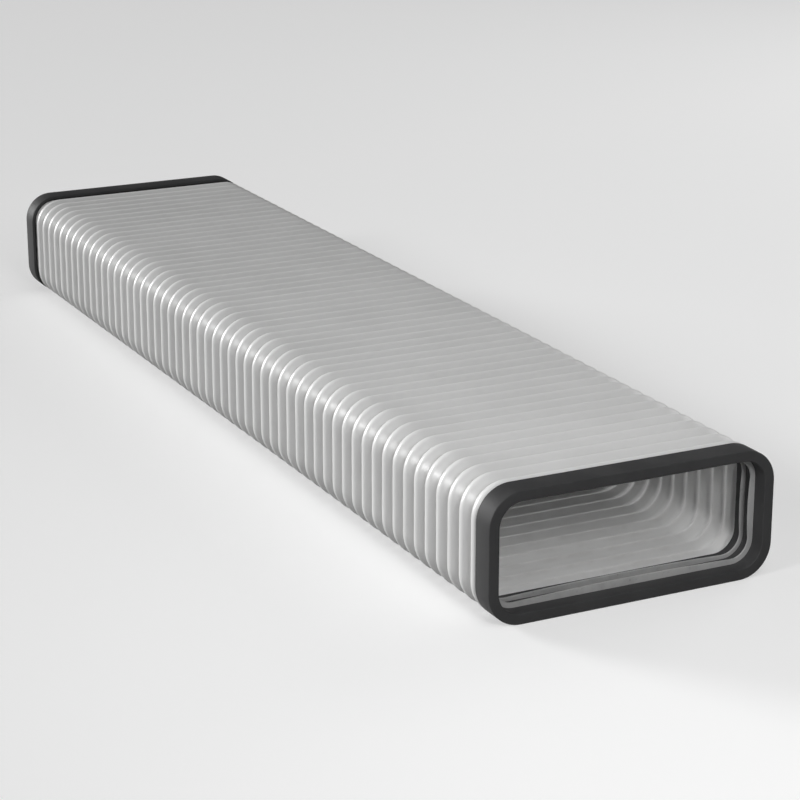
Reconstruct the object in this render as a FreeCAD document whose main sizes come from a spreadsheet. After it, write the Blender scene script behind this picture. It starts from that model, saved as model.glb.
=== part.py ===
import FreeCAD, Part
import math
import os

import Sketcher

os.makedirs("parts", exist_ok=True)
doc = FreeCAD.newDocument("flat_channel_duct")
vec = FreeCAD.Vector

# Driving sizes in millimetres. Depths are counted from a collar's open face, inwards along the duct.
# A growth is how far an outline lies outside the opening's own outline.
SIZES = [
    ("overall_length", "1000"),
    ("opening_width", "216.3"),
    ("opening_height", "82.6"),
    ("opening_corner", "17.8"),
    ("collar_rim", "8.05"),
    ("collar_thickness", "20.1"),
    ("edge_round", "0.7"),
    ("sleeve_wall", "2.05"),
    ("sleeve_depth", "35.5"),
    ("hose_fit", "0.2"),
    ("hose_wall", "0.9"),
    ("wave_depth", "4.6"),
    ("crest_flat", "4"),
    ("valley_flat", "1.4"),
    ("wave_pitch", "17.4"),
    ("wave_overlap", "3.4"),
    ("end_cuff", "0.5"),
    ("slot_gap", "0.3"),
    ("lip_front_depth", "12.4"),
    ("lip_spacing", "11.7"),
    ("lip_thickness", "1.4"),
    ("lip_root", "1.2"),
    ("lip_clearance", "0.15"),
    ("lip_reach_wide", "5.5"),
    ("lip_reach_tall", "4.7"),
    ("lip_corner", "14.5"),
    ("lip_bow_wide", "2420"),
    ("lip_bow_tall", "240"),
    ("inner_lip_shorter", "0.9"),
    ("collar_height", "=opening_height + 2 * collar_rim"),
    ("crest_growth", "=sleeve_wall + hose_fit + hose_wall + wave_depth"),
    ("wave_slope", "=atan2(wave_depth; (wave_pitch - crest_flat - valley_flat) / 2)"),
    ("wave_rise", "=(wave_overlap - valley_flat / 2) * tan(wave_slope)"),
    ("slot_growth", "=sleeve_wall + hose_fit + hose_wall + wave_rise + slot_gap"),
    ("slot_depth", "=wave_overlap + end_cuff + slot_gap"),
    ("wave_start", "=collar_thickness - wave_overlap"),
    ("wave_count", "=floor((overall_length - 2 * wave_start) / wave_pitch)"),
]
sheet = doc.addObject("Spreadsheet::Sheet", "sizes")
for row, (alias, value) in enumerate(SIZES, start=1):
    sheet.set(f"A{row}", alias)
    sheet.set(f"B{row}", value)
    sheet.setAlias(f"B{row}", alias)
doc.recompute()

LIP_DEPTHS = ("sizes.lip_front_depth", "(sizes.lip_front_depth + sizes.lip_spacing)")


def size(alias):
    return float(getattr(sheet, alias))


def outline(*growths):
    """The opening's outline grown by a sum of sizes, each given as "alias" or "-alias"."""
    grow = sum(-size(item[1:]) if item.startswith("-") else size(item) for item in growths)
    text = "0"
    for item in growths:
        text += f" - sizes.{item[1:]}" if item.startswith("-") else f" + sizes.{item}"
    width = (size("opening_width") + 2 * grow, f"sizes.opening_width + 2 * ({text})")
    height = (size("opening_height") + 2 * grow, f"sizes.opening_height + 2 * ({text})")
    corner = (size("opening_corner") + grow, f"sizes.opening_corner + {text}")
    return width, height, corner


def section_sketch(body, name, depth, side):
    """A sketch square to the duct, centred on its axis, at a depth inside the end on the given side."""
    sketch = body.newObject("Sketcher::SketchObject", name)
    plane = next(item for item in body.Origin.OriginFeatures if item.Role == "YZ_Plane")
    sketch.AttachmentSupport = [(plane, "")]
    sketch.MapMode = "FlatFace"
    sketch.setExpression("AttachmentOffset.Base.y", "sizes.collar_height / 2")
    sketch.setExpression("AttachmentOffset.Base.z", f"{side} * (sizes.overall_length / 2 - ({depth}))")
    return sketch


def drive(sketch, constraint, name, expression):
    index = sketch.addConstraint(constraint)
    sketch.renameConstraint(index, name)
    sketch.setExpression(f"Constraints.{name}", expression)


def arc_in_sketch(sketch, centre, radius, start, finish):
    circle = Part.Circle(vec(centre[0], centre[1], 0), vec(0, 0, 1), radius)
    return sketch.addGeometry(Part.ArcOfCircle(circle, start, finish))


def rounded_rectangle(sketch, tag, width, height, corner):
    """Width, height and corner are (value now, expression) pairs."""
    bend = corner[0]
    across = width[0] / 2 - bend
    rise = height[0] / 2 - bend
    quarter = math.pi / 2
    centres = [(across, rise), (-across, rise), (-across, -rise), (across, -rise)]
    arcs = []
    for turn, centre in enumerate(centres):
        arcs.append(arc_in_sketch(sketch, centre, bend, turn * quarter, (turn + 1) * quarter))
    sides = []
    for turn in range(4):
        leave = sketch.Geometry[arcs[turn]].EndPoint
        arrive = sketch.Geometry[arcs[(turn + 1) % 4]].StartPoint
        sides.append(sketch.addGeometry(Part.LineSegment(leave, arrive)))
    for turn in range(4):
        sketch.addConstraint(Sketcher.Constraint("Tangent", arcs[turn], 2, sides[turn], 1))
        sketch.addConstraint(Sketcher.Constraint("Tangent", sides[turn], 2, arcs[(turn + 1) % 4], 1))
    for turn in range(1, 4):
        sketch.addConstraint(Sketcher.Constraint("Equal", arcs[0], arcs[turn]))
    sketch.addConstraint(Sketcher.Constraint("Horizontal", sides[0]))
    sketch.addConstraint(Sketcher.Constraint("Vertical", sides[1]))
    sketch.addConstraint(Sketcher.Constraint("Symmetric", arcs[0], 3, arcs[2], 3, -1, 1))
    drive(sketch, Sketcher.Constraint("Radius", arcs[0], bend), f"{tag}_corner", corner[1])
    reach = Sketcher.Constraint("DistanceX", arcs[1], 3, arcs[0], 3, 2 * across)
    drive(sketch, reach, f"{tag}_width", f"{width[1]} - 2 * ({corner[1]})")
    climb = Sketcher.Constraint("DistanceY", arcs[3], 3, arcs[0], 3, 2 * rise)
    drive(sketch, climb, f"{tag}_height", f"{height[1]} - 2 * ({corner[1]})")


def pad(body, name, sketch, length, side):
    """Adds a sketch's solid, going from its plane into the duct's end on the given side."""
    step = body.newObject("PartDesign::Pad", name)
    step.Profile = sketch
    step.setExpression("Length", length)
    step.Reversed = side > 0
    doc.recompute()
    return step


def pocket(body, name, sketch, length, side):
    """Cuts a sketch's solid away, going from its plane into the duct's end on the given side."""
    step = body.newObject("PartDesign::Pocket", name)
    step.Profile = sketch
    step.setExpression("Length", length)
    step.Reversed = side < 0
    doc.recompute()
    return step


def end_collar(name, side):
    """The flange, the sleeve inside the hose, the slot for the hose's end and the two lip grooves."""
    body = doc.addObject("PartDesign::Body", name)
    flange = section_sketch(body, f"{name}_flange_outline", "0", side)
    rounded_rectangle(flange, "flange", *outline("collar_rim"))
    pad(body, f"{name}_flange", flange, "sizes.collar_thickness", side)
    sleeve = section_sketch(body, f"{name}_sleeve_outline", "0", side)
    rounded_rectangle(sleeve, "sleeve", *outline("sleeve_wall"))
    pad(body, f"{name}_sleeve", sleeve, "sizes.sleeve_depth", side)
    slot = section_sketch(body, f"{name}_slot_outline", "sizes.collar_thickness", side)
    rounded_rectangle(slot, "slot_outer", *outline("slot_growth"))
    rounded_rectangle(slot, "slot_inner", *outline("sleeve_wall"))
    pocket(body, f"{name}_slot", slot, "sizes.slot_depth", -side)
    bore = section_sketch(body, f"{name}_bore_outline", "0", side)
    rounded_rectangle(bore, "bore", *outline())
    cut = pocket(body, f"{name}_bore", bore, "sizes.sleeve_depth", side)
    for number, lip_depth in enumerate(LIP_DEPTHS, start=1):
        groove_depth = f"{lip_depth} - sizes.lip_clearance"
        groove = section_sketch(body, f"{name}_groove_outline_{number}", groove_depth, side)
        rounded_rectangle(groove, "groove", *outline("lip_root"))
        groove_length = "sizes.lip_thickness + 2 * sizes.lip_clearance"
        cut = pocket(body, f"{name}_groove_{number}", groove, groove_length, side)
    rounding = body.newObject("PartDesign::Fillet", f"{name}_rounding")
    rounding.Base = (cut, rim_edges(cut.Shape, side))
    rounding.setExpression("Radius", "sizes.edge_round")
    doc.recompute()
    return body


def rim_edges(shape, side):
    """The edges of the flange's two outer rims and of the opening's front rim."""
    front = side * size("overall_length") / 2
    back = side * (size("overall_length") / 2 - size("collar_thickness"))
    names = []
    for number, edge in enumerate(shape.Edges, start=1):
        middle = edge.valueAt((edge.FirstParameter + edge.LastParameter) / 2)
        flat = edge.BoundBox.XLength < size("lip_clearance")
        at_front = flat and abs(middle.x - front) < size("lip_clearance")
        at_back = flat and abs(middle.x - back) < size("lip_clearance")
        if at_front or (at_back and growth_of(middle) > (size("slot_growth") + size("collar_rim")) / 2):
            names.append(f"Edge{number}")
    return names


def growth_of(spot):
    """How far a point lies outside the opening's outline."""
    corner = size("opening_corner")
    across = max(abs(spot.y) - size("opening_width") / 2 + corner, 0)
    rise = max(abs(spot.z - size("collar_height") / 2) - size("opening_height") / 2 + corner, 0)
    return math.hypot(across, rise) - corner


def sealing_lip(name, side, lip_depth, shorter):
    """A flat soft ring with its root in the collar's groove; shorter is 1 on the inner lip."""
    body = doc.addObject("PartDesign::Body", name)
    ring = section_sketch(body, f"{name}_outline", lip_depth, side)
    rounded_rectangle(ring, "root", *outline("lip_root", "-lip_clearance"))
    bowed_outline(ring, shorter)
    pad(body, f"{name}_ring", ring, "sizes.lip_thickness", side)
    return body


def bowed_outline(sketch, shorter):
    """The lip's free edge: each side bows inwards and the corners are round."""
    less = shorter * size("inner_lip_shorter")
    wide = size("lip_bow_wide")
    tall = size("lip_bow_tall")
    bend = size("lip_corner") + less
    lift = size("opening_height") / 2 - size("lip_reach_wide") + less + wide
    shift = size("opening_width") / 2 - size("lip_reach_tall") + less + tall
    bow_centres = [(0, lift), (-shift, 0), (0, -lift), (shift, 0)]
    bow_radii = [wide, tall, wide, tall]
    spot = nearest_meeting((0, lift), wide + bend, (shift, 0), tall + bend)
    corner_centres = [spot, (-spot[0], spot[1]), (-spot[0], -spot[1]), (spot[0], -spot[1])]
    corners = []
    for turn, centre in enumerate(corner_centres):
        start = direction(centre, bow_centres[turn - 1])
        finish = direction(centre, bow_centres[turn])
        corners.append(arc_in_sketch(sketch, centre, bend, start, finish))
    bows = []
    for turn, centre in enumerate(bow_centres):
        start = direction(centre, corner_centres[(turn + 1) % 4])
        finish = direction(centre, corner_centres[turn])
        bows.append(arc_in_sketch(sketch, centre, bow_radii[turn], start, finish))
    for turn in range(4):
        sketch.addConstraint(Sketcher.Constraint("Tangent", corners[turn], 2, bows[turn], 2))
        sketch.addConstraint(Sketcher.Constraint("Tangent", bows[turn], 1, corners[(turn + 1) % 4], 1))
    for turn in range(1, 4):
        sketch.addConstraint(Sketcher.Constraint("Equal", corners[0], corners[turn]))
    sketch.addConstraint(Sketcher.Constraint("Equal", bows[0], bows[2]))
    sketch.addConstraint(Sketcher.Constraint("Equal", bows[1], bows[3]))
    sketch.addConstraint(Sketcher.Constraint("PointOnObject", bows[0], 3, -2))
    sketch.addConstraint(Sketcher.Constraint("PointOnObject", bows[3], 3, -1))
    sketch.addConstraint(Sketcher.Constraint("Symmetric", bows[0], 3, bows[2], 3, -1, 1))
    sketch.addConstraint(Sketcher.Constraint("Symmetric", bows[1], 3, bows[3], 3, -1, 1))
    shorten = f"{shorter} * sizes.inner_lip_shorter"
    drive(sketch, Sketcher.Constraint("Radius", bows[0], wide), "bow_wide", "sizes.lip_bow_wide")
    drive(sketch, Sketcher.Constraint("Radius", bows[3], tall), "bow_tall", "sizes.lip_bow_tall")
    rounding = f"sizes.lip_corner + {shorten}"
    drive(sketch, Sketcher.Constraint("Radius", corners[0], bend), "bow_corner", rounding)
    rise = f"sizes.opening_height / 2 - sizes.lip_reach_wide + {shorten} + sizes.lip_bow_wide"
    drive(sketch, Sketcher.Constraint("DistanceY", -1, 1, bows[0], 3, lift), "bow_lift", rise)
    run = f"sizes.opening_width / 2 - sizes.lip_reach_tall + {shorten} + sizes.lip_bow_tall"
    drive(sketch, Sketcher.Constraint("DistanceX", -1, 1, bows[3], 3, shift), "bow_shift", run)


def direction(start, finish):
    return math.atan2(finish[1] - start[1], finish[0] - start[0])


def nearest_meeting(first, first_reach, second, second_reach):
    """The point at the two distances from the two centres that lies nearer to the duct's axis."""
    gap = math.hypot(second[0] - first[0], second[1] - first[1])
    along = (gap * gap + first_reach * first_reach - second_reach * second_reach) / (2 * gap)
    off = math.sqrt(first_reach * first_reach - along * along)
    unit = ((second[0] - first[0]) / gap, (second[1] - first[1]) / gap)
    foot = (first[0] + unit[0] * along, first[1] + unit[1] * along)
    meetings = [(foot[0] - unit[1] * off, foot[1] + unit[0] * off)]
    meetings.append((foot[0] + unit[1] * off, foot[1] - unit[0] * off))
    return min(meetings, key=lambda spot: math.hypot(spot[0], spot[1]))


def line_between(start, finish):
    return Part.LineSegment(start, finish).toShape()


def wave_skin(offset):
    """The corners of one skin of the hose's wall, offset outwards from the middle of the wall."""
    half_pitch = size("wave_pitch") / 2
    lean = offset * math.tan(math.radians(size("wave_slope")) / 2)
    crest_half = size("crest_flat") / 2 + lean
    valley_half = size("valley_flat") / 2 - lean
    crest_level = offset - size("hose_wall") / 2
    valley_level = crest_level - size("wave_depth")
    front = size("overall_length") / 2 - size("wave_start")
    spots = [vec(front + size("end_cuff"), 0, valley_level)]
    for number in range(int(size("wave_count"))):
        crest = front - number * size("wave_pitch") - half_pitch
        spots.append(vec(crest + half_pitch - valley_half, 0, valley_level))
        spots.append(vec(crest + crest_half, 0, crest_level))
        spots.append(vec(crest - crest_half, 0, crest_level))
        spots.append(vec(crest - half_pitch + valley_half, 0, valley_level))
    spots.append(vec(-front - size("end_cuff"), 0, valley_level))
    return spots


def hose_section():
    """The wall's section along the duct, closed at both cut ends, with its crests at height 0."""
    outer = wave_skin(size("hose_wall") / 2)
    inner = wave_skin(-size("hose_wall") / 2)
    return Part.makePolygon(outer + inner[::-1] + outer[:1])


def hose_path():
    """The crests' outline, begun at the middle of the top so that the section stands on a straight."""
    width, height, corner = (pair[0] for pair in outline("crest_growth"))
    middle = size("collar_height") / 2
    across = width / 2 - corner
    rise = height / 2 - corner
    corner_spots = [(across, middle + rise), (across, middle - rise)]
    corner_spots += [(-across, middle - rise), (-across, middle + rise)]
    top = vec(0, 0, middle + height / 2)
    edges = []
    last = top
    for turn, (side_spot, height_spot) in enumerate(corner_spots):
        spots = []
        for share in (0, 0.5, 1):
            angle = math.pi / 2 * (1 - turn - share)
            out = corner * math.cos(angle)
            up = corner * math.sin(angle)
            spots.append(vec(0, side_spot + out, height_spot + up))
        edges.append(line_between(last, spots[0]))
        edges.append(Part.Arc(*spots).toShape())
        last = spots[2]
    edges.append(line_between(last, top))
    return Part.Wire(edges)


def corrugated_hose(name):
    """The wall's section swept round the crests' outline."""
    section = hose_section()
    path = hose_path()
    section.translate(path.Vertexes[0].Point)
    hose = doc.addObject("Part::Feature", name)
    hose.Shape = path.makePipe(Part.Face(section))
    return hose


parts = [corrugated_hose("corrugated_hose")]
for end, side_sign in (("front", 1), ("back", -1)):
    parts.append(end_collar(f"end_collar_{end}", side_sign))
    parts.append(sealing_lip(f"outer_lip_{end}", side_sign, LIP_DEPTHS[0], 0))
    parts.append(sealing_lip(f"inner_lip_{end}", side_sign, LIP_DEPTHS[1], 1))
doc.recompute()

for item in doc.Objects:
    if "Invalid" in item.State or "Error" in item.State:
        raise RuntimeError(f"{item.Name} did not build: {item.State}")
for item in parts:
    shape = item.Shape
    if shape.isNull() or not shape.isValid() or len(shape.Solids) != 1:
        raise RuntimeError(f"{item.Label} is not one valid solid")
    shape.exportStep(f"parts/{item.Label}.step")
    print(item.Label, round(shape.Volume))
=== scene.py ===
import math

import bpy
import bmesh
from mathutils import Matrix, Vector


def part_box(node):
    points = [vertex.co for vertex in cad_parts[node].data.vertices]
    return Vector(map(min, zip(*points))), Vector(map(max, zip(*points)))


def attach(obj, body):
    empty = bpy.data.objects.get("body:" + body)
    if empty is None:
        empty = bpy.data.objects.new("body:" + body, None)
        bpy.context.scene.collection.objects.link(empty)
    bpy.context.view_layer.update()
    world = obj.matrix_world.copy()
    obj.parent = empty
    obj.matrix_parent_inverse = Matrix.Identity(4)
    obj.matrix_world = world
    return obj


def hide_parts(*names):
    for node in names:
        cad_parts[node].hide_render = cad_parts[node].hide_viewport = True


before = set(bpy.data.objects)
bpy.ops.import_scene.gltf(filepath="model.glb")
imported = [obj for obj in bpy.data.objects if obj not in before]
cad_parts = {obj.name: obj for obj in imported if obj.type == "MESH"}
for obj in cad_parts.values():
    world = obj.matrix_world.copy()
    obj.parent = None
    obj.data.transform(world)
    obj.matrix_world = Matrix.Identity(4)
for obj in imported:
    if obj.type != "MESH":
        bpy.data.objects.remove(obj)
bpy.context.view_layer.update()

# Corrugated hose
# One thin wall of white plastic, blown into a mould that leaves a rounded wave every 17 mm.
# Its two cut ends are plain cuffs that sit in the slots at the back of the collars.
millimetre = 0.001
crest_count = 55
crest_pitch = 0.0174
wave_depth = 0.0046
crest_bend = 0.0058
valley_bend = 0.0022
hose_wall = 0.0009
crest_corner = 0.02555
first_crest_depth = 0.0254
corner_facets = 11
arc_facets = 4
join_distance = 0.01 * millimetre
hose_crease = math.radians(40)
hose_white = (0.83, 0.83, 0.825, 1)
hose_shaded_white = (0.79, 0.79, 0.785, 1)
# The grey of the painted shade in the valleys of the waves.
hose_valley_shade_grey = (0.62, 0.61, 0.59, 1)
hose_gloss = 1
# How far below the crests the painted shade in the valleys begins.
valley_shade_depth = 0.0026
rub_depth = 0.0005
rub_strength = 0.35
rub_roughness = 0.3

hose_low, hose_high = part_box("corrugated_hose")
collar_low, collar_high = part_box("end_collar_front")
duct_middle = (collar_low[2] + collar_high[2]) / 2
open_face = collar_high[0]
hose_front = hose_high[0]
hose_back = hose_low[0]
hose_width = hose_high[1] - hose_low[1]
hose_height = hose_high[2] - hose_low[2]


def deselect():
    """Leaves nothing selected in object mode."""
    if bpy.context.object and bpy.context.object.mode != "OBJECT":
        bpy.ops.object.mode_set(mode="OBJECT")
    bpy.ops.object.select_all(action="DESELECT")


def rounded_plate(name, place, width, height, corner, facets):
    """One flat face square to the duct, with round corners, looking towards +X; left in edit mode."""
    deselect()
    quarter = math.pi / 2
    bpy.ops.mesh.primitive_plane_add(size=1, location=(place, 0, duct_middle), rotation=(0, quarter, 0))
    plate = bpy.context.object
    plate.name = name
    plate.data.name = name
    plate.scale = (height, width, 1)
    bpy.ops.object.transform_apply(location=True, rotation=True, scale=True)
    bpy.ops.object.mode_set(mode="EDIT")
    bpy.ops.mesh.select_mode(type="VERT")
    bpy.ops.mesh.select_all(action="SELECT")
    bpy.ops.mesh.bevel(offset=corner, offset_type="OFFSET", segments=facets, affect="VERTICES")
    bpy.ops.mesh.select_mode(type="FACE")
    bpy.ops.mesh.select_all(action="SELECT")
    return plate


def step_in(inwards, along):
    """Carries the selected face inwards by one distance and along its normal by another."""
    bpy.ops.mesh.inset(thickness=inwards, depth=along, use_boundary=True, use_even_offset=True)


def pull(along):
    """Extrudes what is selected along X."""
    bpy.ops.mesh.extrude_region_move(TRANSFORM_OT_translate={"value": (along, 0, 0)})


def select_where(piece, kind, wanted):
    """Selects, in edit mode, the points, edges or faces that pass the test."""
    bpy.ops.mesh.select_mode(type=kind)
    bpy.ops.mesh.select_all(action="DESELECT")
    mesh = bmesh.from_edit_mesh(piece.data)
    for part in {"VERT": mesh.verts, "EDGE": mesh.edges, "FACE": mesh.faces}[kind]:
        if wanted(part):
            part.select = True
    mesh.select_flush_mode()
    bmesh.update_edit_mesh(piece.data)


def face_outwards():
    """Turns every face of the piece in edit mode outwards."""
    bpy.ops.mesh.select_all(action="SELECT")
    bpy.ops.mesh.normals_make_consistent(inside=False)


def apply_modifier(piece, kind, **settings):
    """Adds one modifier, sets it and applies it."""
    deselect()
    piece.select_set(True)
    bpy.context.view_layer.objects.active = piece
    modifier = piece.modifiers.new(kind.title(), kind)
    for key, value in settings.items():
        setattr(modifier, key, value)
    bpy.ops.object.modifier_apply(modifier=modifier.name)


def half_wave_steps():
    """Where the wall's outside goes from a crest to the next valley: (along, drop) pairs."""
    half_pitch = crest_pitch / 2
    bends = crest_bend + valley_bend
    fall = wave_depth - bends
    slope = math.atan2(fall, half_pitch) + math.asin(bends / math.hypot(half_pitch, fall))
    crest_radius = crest_bend + hose_wall / 2
    valley_radius = valley_bend - hose_wall / 2
    steps = []
    for facet in range(1, arc_facets + 1):
        turn = slope * facet / arc_facets
        steps.append((crest_radius * math.sin(turn), crest_radius * (1 - math.cos(turn))))
    for facet in range(arc_facets + 1):
        turn = slope * (1 - facet / arc_facets)
        along = half_pitch - valley_radius * math.sin(turn)
        steps.append((along, wave_depth - valley_radius * (1 - math.cos(turn))))
    return steps


hose = rounded_plate("hose_wall", 0, hose_width, hose_height, crest_corner, corner_facets)
reached, dropped = 0, 0
for along, drop in half_wave_steps():
    step_in(drop - dropped, along - reached)
    reached, dropped = along, drop
bpy.ops.mesh.delete(type="ONLY_FACE")
bpy.ops.object.mode_set(mode="OBJECT")
apply_modifier(hose, "MIRROR", use_axis=(True, False, False), merge_threshold=join_distance)
apply_modifier(
    hose,
    "ARRAY",
    count=crest_count,
    use_relative_offset=False,
    use_constant_offset=True,
    constant_offset_displace=(-crest_pitch, 0, 0),
    use_merge_vertices=True,
    merge_threshold=join_distance,
)
hose.location.x = open_face - first_crest_depth
bpy.ops.object.transform_apply(location=True, rotation=True, scale=True)
wave_front = open_face - first_crest_depth + crest_pitch / 2
wave_back = wave_front - crest_count * crest_pitch
bpy.ops.object.mode_set(mode="EDIT")
for wave_end, hose_end in ((wave_front, hose_front), (wave_back, hose_back)):
    select_where(hose, "VERT", lambda point: abs(point.co.x - wave_end) < 2 * join_distance)
    pull(hose_end - wave_end)
face_outwards()
bpy.ops.object.mode_set(mode="OBJECT")
apply_modifier(hose, "SOLIDIFY", thickness=hose_wall, offset=-1, use_even_offset=True)
bpy.ops.object.shade_smooth_by_angle(angle=hose_crease)
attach(hose, "root")
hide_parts("corrugated_hose")


def put(tree, socket, value):
    """Links a socket to another node's output, or sets its number, place or colour."""
    if isinstance(value, bpy.types.NodeSocket):
        tree.links.new(value, socket)
    else:
        socket.default_value = value


def calculate(tree, operation, *terms):
    """One step of arithmetic."""
    step = tree.nodes.new("ShaderNodeMath")
    step.operation = operation
    for socket, term in zip(step.inputs, terms):
        put(tree, socket, term)
    return step.outputs["Value"]


def ease(tree, value, low, high, low_result=0.0, high_result=1.0):
    """Carries a value smoothly from one range to another and holds it at the ends."""
    step = tree.nodes.new("ShaderNodeMapRange")
    step.interpolation_type = "SMOOTHSTEP"
    for name, term in (
        ("Value", value),
        ("From Min", low),
        ("From Max", high),
        ("To Min", low_result),
        ("To Max", high_result),
    ):
        put(tree, step.inputs[name], term)
    return step.outputs["Result"]


def noise(tree, spot, scale, detail):
    """Soft random clouds, from 0 to 1."""
    texture = tree.nodes.new("ShaderNodeTexNoise")
    put(tree, texture.inputs["Vector"], spot)
    put(tree, texture.inputs["Scale"], scale)
    put(tree, texture.inputs["Detail"], detail)
    return texture.outputs[0]


def mix_colours(tree, amount, first, second):
    """Goes from the first colour to the second by an amount."""
    mixer = tree.nodes.new("ShaderNodeMix")
    mixer.data_type = "RGBA"
    for socket, value in ((mixer.inputs[0], amount), (mixer.inputs[6], first), (mixer.inputs[7], second)):
        put(tree, socket, value)
    return mixer.outputs[2]


def stretch(tree, spot, factors):
    """The place with each of its axes multiplied."""
    mapping = tree.nodes.new("ShaderNodeMapping")
    put(tree, mapping.inputs["Vector"], spot)
    mapping.inputs["Scale"].default_value = factors
    return mapping.outputs["Vector"]


def effect_group(name, inputs, outputs):
    """An empty node group with named sockets; gives the tree, its inputs and its outputs."""
    tree = bpy.data.node_groups.new(name, "ShaderNodeTree")
    for socket_name, kind in inputs:
        tree.interface.new_socket(socket_name, in_out="INPUT", socket_type=kind)
    for socket_name, kind in outputs:
        tree.interface.new_socket(socket_name, in_out="OUTPUT", socket_type=kind)
    entry = tree.nodes.new("NodeGroupInput")
    leave = tree.nodes.new("NodeGroupOutput")
    return tree, entry.outputs, leave.inputs


def place_group(tree, group, **values):
    """Places a group in a material and gives its outputs."""
    node = tree.nodes.new("ShaderNodeGroup")
    node.node_tree = group
    for name, value in values.items():
        put(tree, node.inputs[name.replace("_", " ").title()], value)
    return node.outputs


def finish_material(name):
    """A material with its tree, its shader and the place on the surface."""
    finish = bpy.data.materials.new(name)
    finish.use_nodes = True
    tree = finish.node_tree
    shader = tree.nodes["Principled BSDF"]
    spot = tree.nodes.new("ShaderNodeTexCoord").outputs["Object"]
    return finish, tree, shader, spot


def clouded_colour(tree, skin, first, second):
    """Goes from one colour to another with the clouds of a moulded skin."""
    return mix_colours(tree, ease(tree, skin["Cloud"], low=0.35, high=0.65), first, second)


def clouded_roughness(tree, skin, smoothest, roughest):
    """Goes from one roughness to another with the clouds of a moulded skin."""
    return ease(tree, skin["Cloud"], low=0.3, high=0.7, low_result=smoothest, high_result=roughest)


def add_bump(tree, shader, height, distance, strength):
    """Raises the surface by a height map."""
    bump = tree.nodes.new("ShaderNodeBump")
    put(tree, bump.inputs["Height"], height)
    bump.inputs["Distance"].default_value = distance
    bump.inputs["Strength"].default_value = strength
    put(tree, shader.inputs["Normal"], bump.outputs["Normal"])


# How far a place lies outside a round-cornered outline that is centred on the duct.
number = "NodeSocketFloat"
vector = "NodeSocketVector"
outline_height, given, result = effect_group(
    "outline_height",
    (("Spot", vector), ("Half Width", number), ("Half Height", number), ("Corner", number)),
    (("Height", number), ("Along", number)),
)
axes = outline_height.nodes.new("ShaderNodeSeparateXYZ")
put(outline_height, axes.inputs[0], given["Spot"])
offsets = []
for axis, middle, half_size in (("Y", 0.0, "Half Width"), ("Z", duct_middle, "Half Height")):
    off_axis = calculate(outline_height, "SUBTRACT", axes.outputs[axis], middle)
    far = calculate(outline_height, "ABSOLUTE", off_axis)
    straight = calculate(outline_height, "SUBTRACT", given[half_size], given["Corner"])
    past = calculate(outline_height, "SUBTRACT", far, straight)
    offsets.append(calculate(outline_height, "POWER", calculate(outline_height, "MAXIMUM", past, 0.0), 2.0))
reach = calculate(outline_height, "SQRT", calculate(outline_height, "ADD", *offsets))
put(outline_height, result["Height"], calculate(outline_height, "SUBTRACT", reach, given["Corner"]))
put(outline_height, result["Along"], calculate(outline_height, "ABSOLUTE", axes.outputs["X"]))

# What every moulded surface shows: soft clouds of tone, a fine grain and a few scuffs along the duct.
scuff_stretch = (0.12, 1.0, 1.0)
moulded_skin, given, result = effect_group(
    "moulded_skin",
    (("Spot", vector), ("Cloud Scale", number), ("Grain Scale", number), ("Scuff Scale", number)),
    (("Cloud", number), ("Grain", number), ("Scuff", number)),
)
clouds = noise(moulded_skin, given["Spot"], given["Cloud Scale"], detail=3.0)
put(moulded_skin, result["Cloud"], clouds)
grain = noise(moulded_skin, given["Spot"], given["Grain Scale"], detail=2.0)
put(moulded_skin, result["Grain"], grain)
drawn_spot = stretch(moulded_skin, given["Spot"], scuff_stretch)
streaks = noise(moulded_skin, drawn_spot, given["Scuff Scale"], detail=4.0)
put(moulded_skin, result["Scuff"], ease(moulded_skin, streaks, low=0.6, high=0.74))

white_plastic, tree, shader, spot = finish_material("white_blown_plastic")
wave = place_group(
    tree,
    outline_height,
    spot=spot,
    half_width=hose_width / 2,
    half_height=hose_height / 2,
    corner=crest_corner,
)
skin = place_group(tree, moulded_skin, spot=spot, cloud_scale=14.0, grain_scale=1500.0, scuff_scale=260.0)
tone = clouded_colour(tree, skin, hose_white, hose_shaded_white)
# Painted shade, in patches: a darker grey in the valleys outside and on the ridges inside.
valley = ease(tree, wave["Height"], -valley_shade_depth, -wave_depth)
patches = noise(tree, spot, scale=55.0, detail=4.0)
patchy = ease(tree, patches, low=0.38, high=0.75, low_result=0.05, high_result=0.4)
tone_with_valley_shade = mix_colours(tree, calculate(tree, "MULTIPLY", valley, patchy), tone, hose_valley_shade_grey)
crest = ease(tree, wave["Height"], -rub_depth, 0.0)
rubbed = calculate(tree, "MULTIPLY", crest, calculate(tree, "MULTIPLY", skin["Scuff"], rub_strength))
put(tree, shader.inputs["Base Color"], mix_colours(tree, rubbed, tone_with_valley_shade, hose_shaded_white))
shader.inputs["Specular IOR Level"].default_value = hose_gloss
matt = clouded_roughness(tree, skin, smoothest=0.3, roughest=0.36)
rougher = calculate(tree, "MULTIPLY", rubbed, rub_roughness)
put(tree, shader.inputs["Roughness"], calculate(tree, "ADD", matt, rougher))
add_bump(tree, shader, skin["Grain"], distance=0.05 * millimetre, strength=0.25)
hose.data.materials.append(white_plastic)

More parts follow.
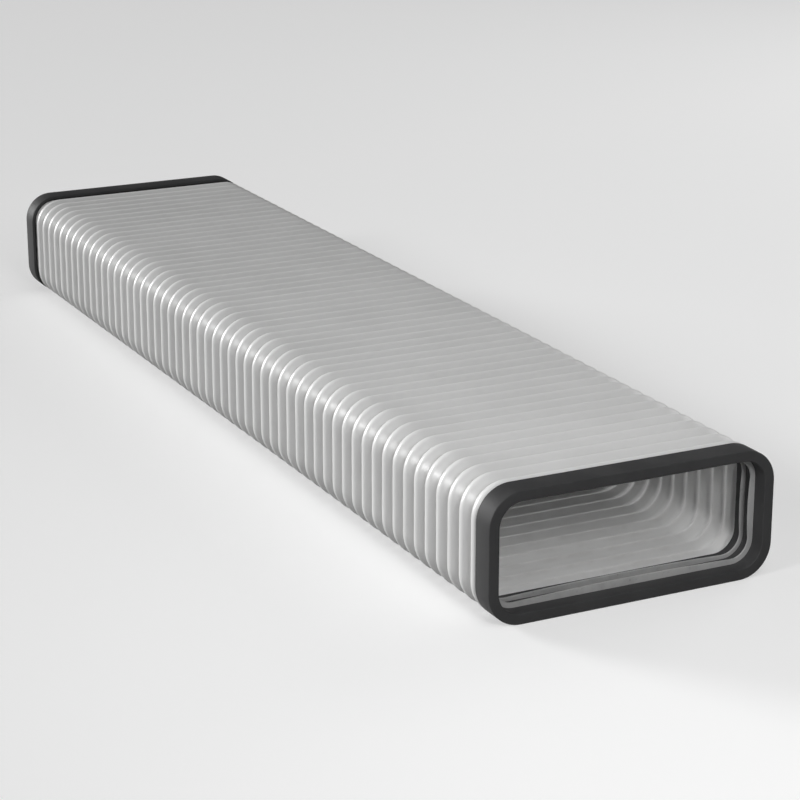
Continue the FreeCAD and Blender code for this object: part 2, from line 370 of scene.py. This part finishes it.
# End collars
# Two moulded frames of dark grey plastic, one pushed on each end of the hose. A sleeve reaches into
# the hose, a slot behind the flange grips its cut end, and two grooves in the bore hold the lips.
collar_rim = 0.00805
collar_thickness = 0.0201
collar_edge_round = 0.0007
opening_width = collar_high[1] - collar_low[1] - 2 * collar_rim
opening_height = collar_high[2] - collar_low[2] - 2 * collar_rim
opening_corner = 0.0178
sleeve_wall = 0.00205
sleeve_depth = collar_high[0] - collar_low[0]
slot_cover = 0.0025
slot_depth = 0.0042
groove_depth = 0.0012
groove_width = 0.0017
groove_starts = (0.01225, 0.02395)
collar_facets = 16
edge_facets = 4
crease = math.radians(35)
near = 0.1 * millimetre
collar_grey = (0.042, 0.042, 0.043, 1)
collar_pale_grey = (0.05, 0.05, 0.051, 1)
collar_worn_grey = (0.075, 0.075, 0.076, 1)
collar_gloss = 0.22
scuff_strength = 0.16
scuff_roughness = 0.12


def opening_plate(name, place, growth, facets):
    """A rounded plate with the opening's outline grown by a distance."""
    width = opening_width + 2 * growth
    height = opening_height + 2 * growth
    return rounded_plate(name, place, width, height, opening_corner + growth, facets)


def outside_opening(spot):
    """How far a point lies outside the opening's outline."""
    across = max(abs(spot.y) - opening_width / 2 + opening_corner, 0)
    rise = max(abs(spot.z - duct_middle) - opening_height / 2 + opening_corner, 0)
    return math.hypot(across, rise) - opening_corner


def on_outline(edge, place, growth):
    """Whether an edge lies at a place along the duct, on the opening's outline grown by a distance."""
    flat = all(abs(end.co.x - place) < near for end in edge.verts)
    return flat and all(abs(outside_opening(end.co) - growth) < near for end in edge.verts)


def select_outlines(piece, outlines):
    """Selects the edges of the outlines given as (place along the duct, growth) pairs."""
    select_where(piece, "EDGE", lambda edge: any(on_outline(edge, *outline) for outline in outlines))


def on_open_face(face):
    """Whether a face lies at the mouth of the front collar."""
    return abs(face.calc_center_median().x - open_face) < near


def in_groove(face):
    """Whether a face lies on the bore between the edges of a groove."""
    spot = face.calc_center_median()
    depth = open_face - spot.x - groove_width / 2
    on_bore = abs(outside_opening(spot)) < sleeve_wall / 2
    return on_bore and any(abs(depth - start) < near for start in groove_starts)


def far_end_copy(piece, name):
    """The same piece on the other end of the duct, as a mesh of its own."""
    deselect()
    piece.select_set(True)
    bpy.context.view_layer.objects.active = piece
    bpy.ops.object.duplicate(linked=False)
    copy = bpy.context.object
    copy.name = name
    copy.data.name = name
    copy.scale.x = -1
    bpy.ops.object.transform_apply(location=True, rotation=True, scale=True)
    bpy.ops.object.mode_set(mode="EDIT")
    face_outwards()
    bpy.ops.object.mode_set(mode="OBJECT")
    return copy


collar_front = opening_plate("collar_front", open_face, collar_rim, collar_facets)
pull(-collar_thickness)
step_in(slot_cover, 0)
pull(slot_depth)
step_in(collar_rim - slot_cover - sleeve_wall, 0)
pull(collar_thickness - slot_depth - sleeve_depth)
step_in(sleeve_wall, 0)
reached = sleeve_depth
for groove_start in reversed(groove_starts):
    pull(reached - groove_start - groove_width)
    pull(groove_width)
    reached = groove_start
pull(reached)
bpy.ops.mesh.delete(type="ONLY_FACE")
select_where(collar_front, "FACE", on_open_face)
bpy.ops.mesh.delete(type="ONLY_FACE")
select_outlines(collar_front, ((open_face, collar_rim), (open_face, 0)))
bpy.ops.mesh.bridge_edge_loops()
face_outwards()
select_where(collar_front, "FACE", in_groove)
bpy.ops.mesh.extrude_region_shrink_fatten(
    TRANSFORM_OT_shrink_fatten={"value": -groove_depth, "use_even_offset": True}
)
flange_back = open_face - collar_thickness
select_outlines(collar_front, ((open_face, collar_rim), (open_face, 0), (flange_back, collar_rim)))
bpy.ops.mesh.bevel(offset=collar_edge_round, offset_type="OFFSET", segments=edge_facets, affect="EDGES")
bpy.ops.object.mode_set(mode="OBJECT")
bpy.ops.object.shade_smooth_by_angle(angle=crease)


def opening_distance(tree, spot):
    """How far a place lies outside the opening, and how far along the duct, from a placed group."""
    return place_group(
        tree,
        outline_height,
        spot=spot,
        half_width=opening_width / 2,
        half_height=opening_height / 2,
        corner=opening_corner,
    )


dark_plastic, tree, shader, spot = finish_material("dark_moulded_plastic")
rim = opening_distance(tree, spot)
skin = place_group(tree, moulded_skin, spot=spot, cloud_scale=38.0, grain_scale=2200.0, scuff_scale=420.0)
tone = clouded_colour(tree, skin, collar_grey, collar_pale_grey)
outer_edge = ease(tree, rim["Height"], collar_rim - collar_edge_round, collar_rim)
inner_edge = ease(tree, rim["Height"], collar_edge_round, 0.0)
at_mouth = ease(tree, rim["Along"], open_face - collar_edge_round, open_face)
at_back = ease(tree, rim["Along"], flange_back + collar_edge_round, flange_back)
front_wear = calculate(tree, "MULTIPLY", at_mouth, calculate(tree, "MAXIMUM", outer_edge, inner_edge))
edge_wear = calculate(tree, "MAXIMUM", front_wear, calculate(tree, "MULTIPLY", at_back, outer_edge))
patches = noise(tree, spot, scale=120.0, detail=5.0)
patchy = ease(tree, patches, low=0.35, high=0.7, low_result=0.15, high_result=0.8)
worn = calculate(tree, "MULTIPLY", edge_wear, patchy)
scuffed = calculate(tree, "MAXIMUM", worn, calculate(tree, "MULTIPLY", skin["Scuff"], scuff_strength))
put(tree, shader.inputs["Base Color"], mix_colours(tree, scuffed, tone, collar_worn_grey))
shader.inputs["Specular IOR Level"].default_value = collar_gloss
matt = clouded_roughness(tree, skin, smoothest=0.52, roughest=0.62)
rougher = calculate(tree, "MULTIPLY", scuffed, scuff_roughness)
put(tree, shader.inputs["Roughness"], calculate(tree, "ADD", matt, rougher))
add_bump(tree, shader, skin["Grain"], distance=0.06 * millimetre, strength=0.35)
collar_front.data.materials.append(dark_plastic)
collar_back = far_end_copy(collar_front, "collar_back")
for collar, node in ((collar_front, "end_collar_front"), (collar_back, "end_collar_back")):
    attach(collar, "root")
    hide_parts(node)

# Sealing lips
# Two soft, paler rings in each collar, pressed into the grooves of its bore. Their free edges bow
# inwards along every side; the inner ring is a bit shorter.
lip_starts = (0.0124, 0.0241)
lip_thickness = 0.0014
lip_root = 0.00105
lip_side_reach = 0.0037
lip_bow_wide = 0.0018
lip_bow_tall = 0.001
inner_lip_shorter = 0.0009
lip_edge_round = 0.0004
lip_edge_facets = 3
lip_side_cuts = 23
lip_facets = 12
lip_grey = (0.34, 0.34, 0.34, 1)
lip_pale_grey = (0.4, 0.4, 0.398, 1)
lip_handled_grey = (0.14, 0.14, 0.14, 1)
lip_clean_reach = 0.0015
lip_handled_reach = 0.004


def on_free_edge(edge):
    """Whether an edge runs along the inner rim of a ring."""
    first, second = edge.verts
    free = outside_opening(first.co) < 0 and outside_opening(second.co) < 0
    return free and abs(first.co.x - second.co.x) < lip_thickness / 2


def bow_free_edge(ring):
    """Moves the ring's inner edge further in, most at the middle of each side."""
    straight_across = opening_width / 2 - opening_corner
    straight_up = opening_height / 2 - opening_corner
    mesh = bmesh.from_edit_mesh(ring.data)
    for point in mesh.verts:
        if outside_opening(point.co) < 0:
            rise = point.co.z - duct_middle
            share_across = min(abs(point.co.y) / straight_across, 1)
            share_up = min(abs(rise) / straight_up, 1)
            point.co.z -= math.copysign(lip_bow_wide * (1 - share_across**2), rise)
            point.co.y -= math.copysign(lip_bow_tall * (1 - share_up**2), point.co.y)
    bmesh.update_edit_mesh(ring.data)


def sealing_lip(name, start, shorter):
    """One ring, square to the duct, from its root in the groove to its bowed and rounded free edge."""
    ring = opening_plate(name, open_face - start, lip_root, lip_facets)
    select_where(ring, "EDGE", lambda edge: edge.calc_length() > opening_corner)
    bpy.ops.mesh.subdivide(number_cuts=lip_side_cuts)
    bpy.ops.mesh.select_mode(type="FACE")
    bpy.ops.mesh.select_all(action="SELECT")
    step_in(lip_root + lip_side_reach - shorter, 0)
    bpy.ops.mesh.delete(type="ONLY_FACE")
    bow_free_edge(ring)
    bpy.ops.mesh.select_all(action="SELECT")
    pull(-lip_thickness)
    face_outwards()
    select_where(ring, "EDGE", on_free_edge)
    bpy.ops.mesh.bevel(offset=lip_edge_round, offset_type="OFFSET", segments=lip_edge_facets, affect="EDGES")
    bpy.ops.object.mode_set(mode="OBJECT")
    bpy.ops.object.shade_smooth_by_angle(angle=crease)
    return ring


soft_rubber, tree, shader, spot = finish_material("soft_grey_rubber")
rim = opening_distance(tree, spot)
skin = place_group(tree, moulded_skin, spot=spot, cloud_scale=60.0, grain_scale=2600.0, scuff_scale=500.0)
tone = clouded_colour(tree, skin, lip_grey, lip_pale_grey)
touched = ease(tree, rim["Height"], -lip_clean_reach, -lip_handled_reach, low_result=0.15, high_result=0.6)
handled = calculate(tree, "MULTIPLY", skin["Scuff"], touched)
put(tree, shader.inputs["Base Color"], mix_colours(tree, handled, tone, lip_handled_grey))
put(tree, shader.inputs["Roughness"], clouded_roughness(tree, skin, smoothest=0.56, roughest=0.68))
add_bump(tree, shader, skin["Grain"], distance=0.05 * millimetre, strength=0.3)

for place, start, shorter in (("outer", lip_starts[0], 0), ("inner", lip_starts[1], inner_lip_shorter)):
    lip_front = sealing_lip(f"{place}_ring_front", start, shorter)
    lip_front.data.materials.append(soft_rubber)
    lip_back = far_end_copy(lip_front, f"{place}_ring_back")
    for lip, end in ((lip_front, "front"), (lip_back, "back")):
        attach(lip, "root")
        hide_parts(f"{place}_lip_{end}")

# Studio
# A plain pale floor and soft suns: one low behind on the left, weaker ones at the side and before the mouth,
# and one without shadows for the light that comes through the thin white wall. Soft lamps in front, at the
# mouth and behind, and the camera of the photograph.
floor_size = 30
floor_drop = 0.0002
floor_white = (0.8, 0.8, 0.8, 1)
floor_bounce = (0.14, 0.14, 0.14, 1)
floor_roughness = 0.85
floor_gloss = 0.1
floor_glow = 0.25
black = (0, 0, 0, 1)
room_white = (1, 1, 1, 1)
room_strength = 0.06
duct_centre = (0, 0, 0.05)
camera_place = (1.8291, -0.8460, 0.6570)
camera_azimuth = math.radians(63.518)
camera_elevation = math.radians(17.931)
camera_sensor = 36
camera_lens = 107.89

deselect()
bpy.ops.mesh.primitive_plane_add(size=floor_size, location=(0, 0, -floor_drop))
floor = bpy.context.object
floor.name = "floor"
pale_floor, tree, shader, spot = finish_material("pale_floor")
shader.inputs["Roughness"].default_value = floor_roughness
shader.inputs["Specular IOR Level"].default_value = floor_gloss
ray = tree.nodes.new("ShaderNodeLightPath").outputs
seen = calculate(tree, "MAXIMUM", ray["Is Camera Ray"], ray["Is Glossy Ray"])
seen = calculate(tree, "MAXIMUM", seen, ray["Is Transmission Ray"])
put(tree, shader.inputs["Base Color"], mix_colours(tree, seen, floor_bounce, floor_white))
put(tree, shader.inputs["Emission Color"], mix_colours(tree, seen, black, floor_white))
shader.inputs["Emission Strength"].default_value = floor_glow
floor.data.materials.append(pale_floor)

scene = bpy.context.scene
scene.view_settings.view_transform = "Standard"
world = bpy.data.worlds.new("soft_room")
world.use_nodes = True
background = world.node_tree.nodes["Background"]
background.inputs["Color"].default_value = room_white
background.inputs["Strength"].default_value = room_strength
scene.world = world


def aim_lamp(lamp, name, place, target):
    """Names a lamp and turns it from its place towards a target."""
    lamp.name = name
    away = [start - end for start, end in zip(place, target)]
    turn = math.atan2(away[1], away[0]) + math.pi / 2
    tilt = math.atan2(math.hypot(away[0], away[1]), away[2])
    lamp.rotation_euler = (tilt, 0, turn)


def softbox(name, place, target, size, power, spread=180):
    """A square soft lamp whose light keeps within an angle, in degrees."""
    bpy.ops.object.light_add(type="AREA", location=place)
    lamp = bpy.context.object
    lamp.data.size = size
    lamp.data.energy = power
    lamp.data.spread = math.radians(spread)
    aim_lamp(lamp, name, place, target)


def soft_sun(name, place, power, softness):
    """A sun that shines from a place towards the duct, as wide in the sky as an angle in degrees."""
    bpy.ops.object.light_add(type="SUN", location=place)
    sun = bpy.context.object
    sun.data.energy = power
    sun.data.angle = math.radians(softness)
    aim_lamp(sun, name, place, duct_centre)
    return sun


soft_sun("key_light", place=(-2.4, -1.5, 0.65), power=2.1, softness=20)
soft_sun("side_light", place=(0.63, -2.63, 1.35), power=0.65, softness=12)
soft_sun("low_light", place=(1.9, -0.8, 0.4), power=0.2, softness=20)
through_light = soft_sun("through_light", place=(-2.4, -1.5, 1.8), power=1.3, softness=20)
through_light.visible_glossy = False
through_light.data.use_shadow = False
through_light.data.cycles.max_bounces = 0
softbox("front_light", place=(1.3, -0.15, 1.4), target=(0.35, 0, 0.05), size=0.6, power=3)
softbox("mouth_light", place=(1.75, -0.25, 0.85), target=(0.47, 0, 0.04), size=0.45, power=0.9, spread=60)
softbox("back_light", place=(-0.4, 2.4, 1.1), target=duct_centre, size=1.4, power=12)

camera_data = bpy.data.cameras.new("photo_camera")
camera = bpy.data.objects.new("photo_camera", camera_data)
scene.collection.objects.link(camera)
camera.location = camera_place
camera.rotation_euler = (math.pi / 2 - camera_elevation, 0, camera_azimuth)
camera_data.sensor_width = camera_sensor
camera_data.lens = camera_lens
scene.camera = camera
